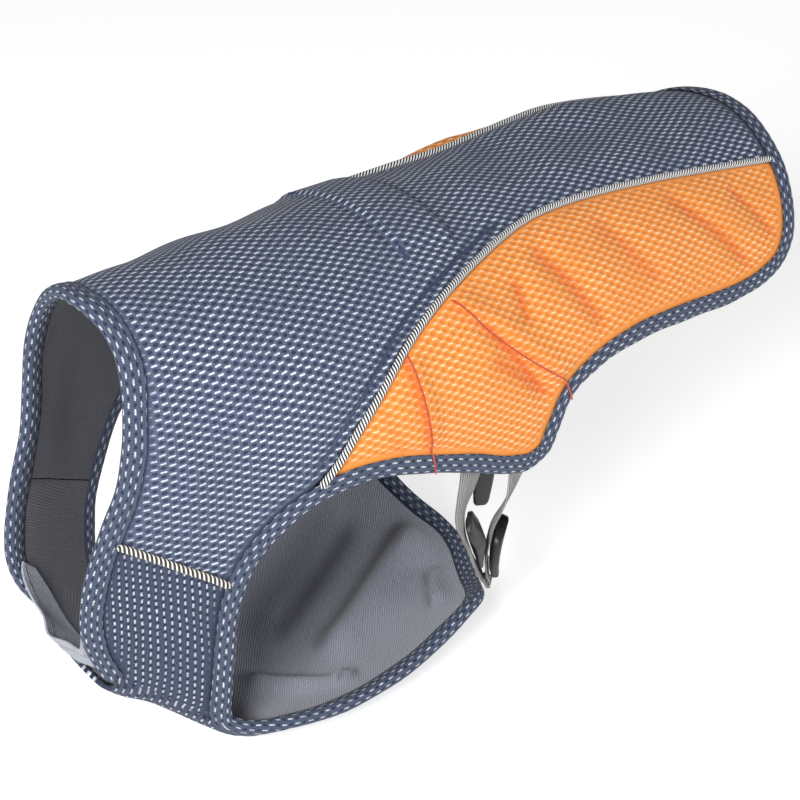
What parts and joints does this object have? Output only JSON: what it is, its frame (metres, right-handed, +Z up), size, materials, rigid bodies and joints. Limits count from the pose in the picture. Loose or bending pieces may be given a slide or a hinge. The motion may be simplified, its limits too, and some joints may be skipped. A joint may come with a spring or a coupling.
{
  "type": "dog cooling vest",
  "caption": "Hollow sleeveless mesh cooling vest for a medium dog, with bound edges, flank panels, belly plate, piping and side buckle straps",
  "frame": {"origin": "on the lining's face of the back, on the middle plane, 104 mm behind the neck edge, where the wearer's spine carries it", "axes": "+X to the tail, +Y to the wearer's right side, +Z up; the vest stands as it is worn, head end to -X"},
  "size_m": [0.4195, 0.1634, 0.2281],
  "materials": {
    "navy_mesh": "open polyester spacer mesh, dark blue with pale threads",
    "orange_mesh": "open polyester spacer mesh, orange",
    "grey_lining": "finely ribbed knitted lining, grey",
    "navy_binding": "folded strip of spacer mesh, dark blue with pale dashes",
    "pale_stretch": "stretch knit, light grey",
    "rope_piping": "twisted black and pale reflective cord",
    "grey_webbing": "ribbed polyester webbing, light grey",
    "black_plastic": "moulded acetal, black, satin"
  },
  "bodies": {
    "root": {"shell_back": "navy_mesh", "shell_flank_left": "orange_mesh", "shell_flank_right": "orange_mesh", "shell_chest": "navy_mesh", "lining_body": "grey_lining", "lining_chest": "grey_lining", "binding_outer": "navy_binding", "binding_neck": "navy_binding", "throat_gusset": "pale_stretch", "piping_left": "rope_piping", "piping_right": "rope_piping", "shoulder_tape_left": "rope_piping", "shoulder_tape_right": "rope_piping", "back_band": "navy_mesh", "bar_tack_front_left": "navy_mesh", "bar_tack_front_right": "navy_mesh", "bar_tack_rear_left": "navy_mesh", "bar_tack_rear_right": "navy_mesh", "strap_web_left": "grey_webbing", "strap_web_right": "grey_webbing", "strap_tab_left": "grey_webbing", "strap_tab_right": "grey_webbing", "buckle_socket_left": "black_plastic", "buckle_socket_right": "black_plastic", "buckle_slider_left": "black_plastic", "buckle_slider_right": "black_plastic", "buckle_plug_left": "black_plastic", "buckle_plug_right": "black_plastic"}
  },
  "joints": []
}
